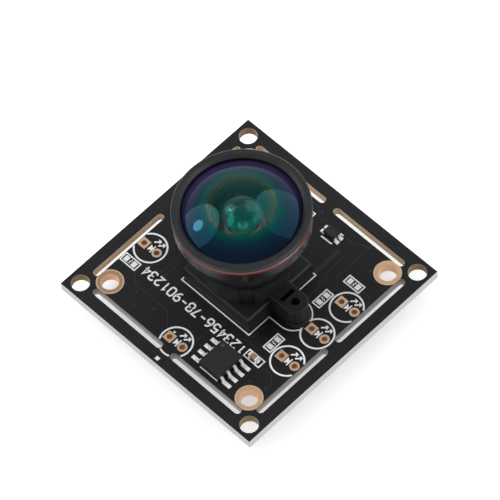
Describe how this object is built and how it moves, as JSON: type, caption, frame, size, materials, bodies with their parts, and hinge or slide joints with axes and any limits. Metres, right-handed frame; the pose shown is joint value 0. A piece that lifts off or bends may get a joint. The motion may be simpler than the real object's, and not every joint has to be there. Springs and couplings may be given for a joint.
{
  "type": "camera module",
  "caption": "Square camera module board with a screwed-on lens holder and a focusing wide-angle lens that comes apart into its groups.",
  "frame": {"origin": "centre of the board's underside, on the lens axis, in the plane of the mounting holes' seats", "axes": "+Z along the lens axis, out of the lens; +X towards the board edge with three ring-light places; +Y towards the board edge with the small regulator chip"},
  "size_m": [0.038, 0.038, 0.0252],
  "materials": {
    "board_resist": "semi-gloss black solder resist over glass-epoxy board",
    "copper": "bare gold-toned copper",
    "tinned": "bright tinned solder",
    "black_plastic": "moulded black plastic",
    "filter_glass": "coated filter glass",
    "sensor_ceramic": "sensor package",
    "clear_glass": "coated clear glass",
    "dome_glass": "green and purple coated glass",
    "black_anodised": "black anodised, satin",
    "barrel_metal": "black anodised with a bright band",
    "red_line": "red",
    "chip_black": "moulded chip compound",
    "steel": "plated steel",
    "screw_steel": "black zinc-plated steel",
    "ceramic_brown": "brown ceramic",
    "resistor_black": "black ceramic",
    "ferrite": "dark ferrite",
    "connector_nylon": "off-white nylon"
  },
  "bodies": {
    "board": {"circuit_board": "board_resist", "mounting_hole_plating": "copper", "light_pad_plating": "copper", "solder_pads": "tinned", "lens_holder": "black_plastic", "infrared_filter": "filter_glass", "image_sensor": "sensor_ceramic", "sensor_glass": "filter_glass", "holder_screws": "screw_steel", "flash_chip": "chip_black", "flash_chip_leads": "tinned", "regulator_chip": "chip_black", "regulator_leads": "tinned", "crystal_can": "steel", "chip_capacitors": "ceramic_brown", "chip_capacitor_ends": "tinned", "processor_chip": "chip_black", "processor_leads": "tinned", "back_crystal_can": "steel", "inductor": "ferrite", "back_capacitors": "ceramic_brown", "back_capacitor_ends": "tinned", "back_resistors": "resistor_black", "back_resistor_ends": "tinned", "connector_housing": "connector_nylon", "connector_pins": "tinned", "connector_tabs": "tinned"},
    "focus_core": {"aperture_stop": "black_anodised", "field_lens": "clear_glass", "field_lens_ring": "black_anodised"},
    "focus_barrel": {"lens_barrel": "black_anodised"},
    "rear_group": {"rear_element": "clear_glass"},
    "middle_group": {"middle_cell": "black_anodised", "middle_element": "clear_glass"},
    "front_group": {"front_barrel": "barrel_metal", "red_line_ring": "red_line", "second_element": "clear_glass", "second_element_ring": "black_anodised"},
    "front_glass": {"front_element": "dome_glass"},
    "top_ring": {"retaining_ring": "black_anodised"}
  },
  "joints": [
    {"name": "focus_travel", "type": "slide", "parent": "board", "child": "focus_core", "axis": [0, 0, 1], "range_m": [0, 0.001]},
    {"name": "focus_turn", "type": "hinge", "parent": "focus_core", "child": "focus_barrel", "pos_m": [0, 0, 0.009], "axis": [0, 0, 1], "range_deg": [0, 720]},
    {"name": "rear_element_lift", "type": "slide", "parent": "focus_core", "child": "rear_group", "axis": [0, 0, 1], "range_m": [0, 0.0037]},
    {"name": "middle_cell_lift", "type": "slide", "parent": "rear_group", "child": "middle_group", "axis": [0, 0, 1], "range_m": [0, 0.004]},
    {"name": "front_barrel_lift", "type": "slide", "parent": "middle_group", "child": "front_group", "axis": [0, 0, 1], "range_m": [0, 0.0078]},
    {"name": "front_element_lift", "type": "slide", "parent": "front_group", "child": "front_glass", "axis": [0, 0, 1], "range_m": [0, 0.0117]},
    {"name": "ring_lift", "type": "slide", "parent": "front_glass", "child": "top_ring", "axis": [0, 0, 1], "range_m": [0, 0.0077]}
  ],
  "couplings": [
    {"joint": "focus_turn", "follows": "focus_travel", "rad_per_m": 12566}
  ]
}
